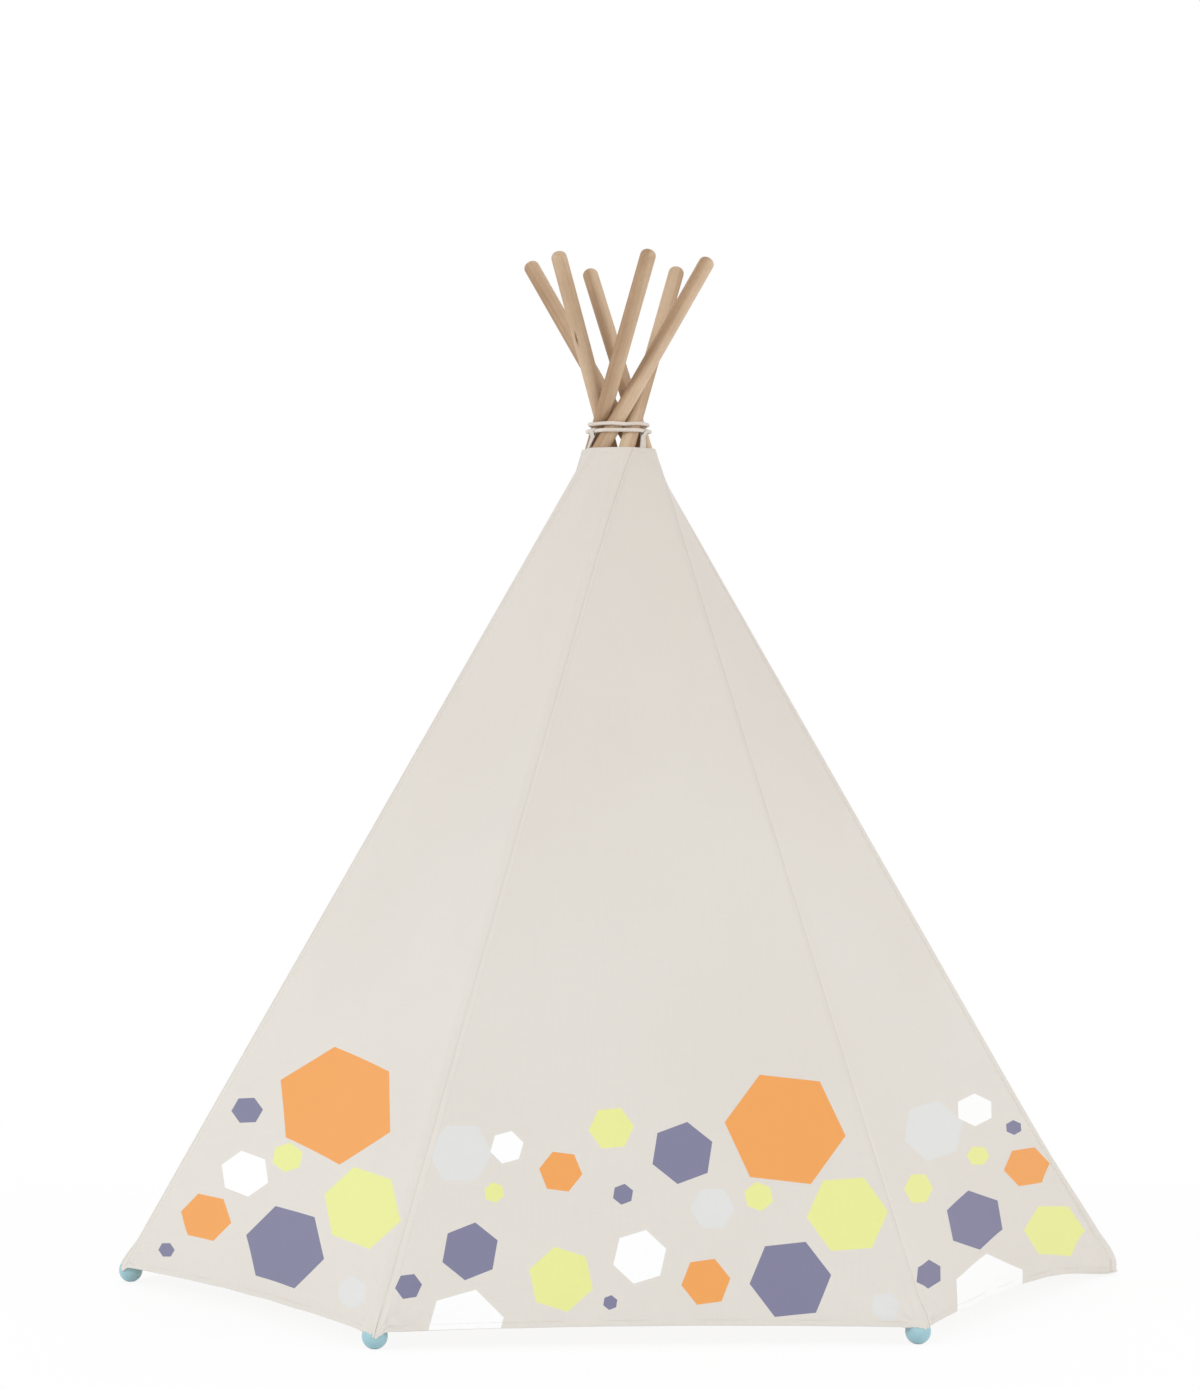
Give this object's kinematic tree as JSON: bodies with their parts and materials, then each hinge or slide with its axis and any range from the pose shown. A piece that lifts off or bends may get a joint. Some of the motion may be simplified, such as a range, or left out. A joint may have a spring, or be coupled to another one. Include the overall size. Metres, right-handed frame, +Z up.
{
  "type": "play tent",
  "caption": "Tall pointed fabric play tent on crossed wooden poles with rounded ball feet, a rope lashing below the tips, and a doorway with flaps.",
  "frame": {"origin": "centre of the ring of feet, on the floor", "axes": "+Z up; +Y towards the doorway; +X towards the foot of the first pole; the pictured side faces -Y"},
  "size_m": [1.584, 1.3829, 1.6229],
  "materials": {
    "pine": "sanded, oiled",
    "ball_paint": "painted, satin",
    "joint_tube": "satin",
    "canvas": "cotton canvas, off-white, printed",
    "tape": "cotton tape",
    "rope": "twisted cotton rope"
  },
  "bodies": {
    "canopy": {"wall_panel_1": "canvas", "wall_panel_3": "canvas", "wall_panel_4": "canvas", "wall_panel_5": "canvas", "wall_panel_6": "canvas", "door_head": "canvas", "hanging_loop_left": "tape", "hanging_loop_right": "tape", "lashing_rope": "rope"},
    "pole_1": {"pole_1_upper": "pine", "pole_1_lower": "pine", "pole_1_ferrule": "joint_tube", "pole_1_foot": "ball_paint", "pole_1_sleeve": "canvas"},
    "pole_2": {"pole_2_upper": "pine", "pole_2_lower": "pine", "pole_2_ferrule": "joint_tube", "pole_2_foot": "ball_paint", "pole_2_sleeve": "canvas", "door_tie_right": "tape"},
    "pole_3": {"pole_3_upper": "pine", "pole_3_lower": "pine", "pole_3_ferrule": "joint_tube", "pole_3_foot": "ball_paint", "pole_3_sleeve": "canvas", "door_tie_left": "tape"},
    "pole_4": {"pole_4_upper": "pine", "pole_4_lower": "pine", "pole_4_ferrule": "joint_tube", "pole_4_foot": "ball_paint", "pole_4_sleeve": "canvas"},
    "pole_5": {"pole_5_upper": "pine", "pole_5_lower": "pine", "pole_5_ferrule": "joint_tube", "pole_5_foot": "ball_paint", "pole_5_sleeve": "canvas"},
    "pole_6": {"pole_6_upper": "pine", "pole_6_lower": "pine", "pole_6_ferrule": "joint_tube", "pole_6_foot": "ball_paint", "pole_6_sleeve": "canvas"},
    "flap_right": {"door_flap_right": "canvas"},
    "flap_left": {"door_flap_left": "canvas"}
  },
  "joints": [
    {"name": "pole_1_fold", "type": "hinge", "parent": "canopy", "child": "pole_1", "pos_m": [0.0012, 0.03043, 1.37], "axis": [0.0394, 0.9992, 0], "range_deg": [0, 25], "deforming": ["wall_panel_1", "wall_panel_3", "wall_panel_4", "wall_panel_5", "wall_panel_6", "door_head", "door_flap_right", "door_flap_left", "door_tie_right", "door_tie_left", "hanging_loop_left", "hanging_loop_right", "lashing_rope"]},
    {"name": "pole_2_fold", "type": "hinge", "parent": "canopy", "child": "pole_2", "pos_m": [-0.02576, 0.01626, 1.37], "axis": [-0.8457, 0.5337, 0], "range_deg": [0, 25]},
    {"name": "pole_3_fold", "type": "hinge", "parent": "canopy", "child": "pole_3", "pos_m": [-0.02696, -0.01418, 1.37], "axis": [-0.8851, -0.4655, 0], "range_deg": [0, 25]},
    {"name": "pole_4_fold", "type": "hinge", "parent": "canopy", "child": "pole_4", "pos_m": [-0.0012, -0.03043, 1.37], "axis": [-0.0394, -0.9992, 0], "range_deg": [0, 25]},
    {"name": "pole_5_fold", "type": "hinge", "parent": "canopy", "child": "pole_5", "pos_m": [0.02576, -0.01626, 1.37], "axis": [0.8457, -0.5337, 0], "range_deg": [0, 25]},
    {"name": "pole_6_fold", "type": "hinge", "parent": "canopy", "child": "pole_6", "pos_m": [0.02696, 0.01418, 1.37], "axis": [0.8851, 0.4655, 0], "range_deg": [0, 25]},
    {"name": "flap_right_swing", "type": "hinge", "parent": "pole_2", "child": "flap_right", "pos_m": [0.23713, 0.44881, 0.513], "axis": [0.2647, 0.4195, -0.8683], "range_deg": [0, 110], "deforming": ["door_flap_right"]},
    {"name": "flap_left_swing", "type": "hinge", "parent": "pole_3", "child": "flap_left", "pos_m": [-0.25697, 0.43782, 0.513], "axis": [0.2309, -0.439, 0.8683], "range_deg": [0, 110], "deforming": ["door_flap_left"]}
  ],
  "couplings": [
    {"joint": "pole_2_fold", "follows": "pole_1_fold", "ratio": 1},
    {"joint": "pole_3_fold", "follows": "pole_1_fold", "ratio": 1},
    {"joint": "pole_4_fold", "follows": "pole_1_fold", "ratio": 1},
    {"joint": "pole_5_fold", "follows": "pole_1_fold", "ratio": 1},
    {"joint": "pole_6_fold", "follows": "pole_1_fold", "ratio": 1}
  ]
}
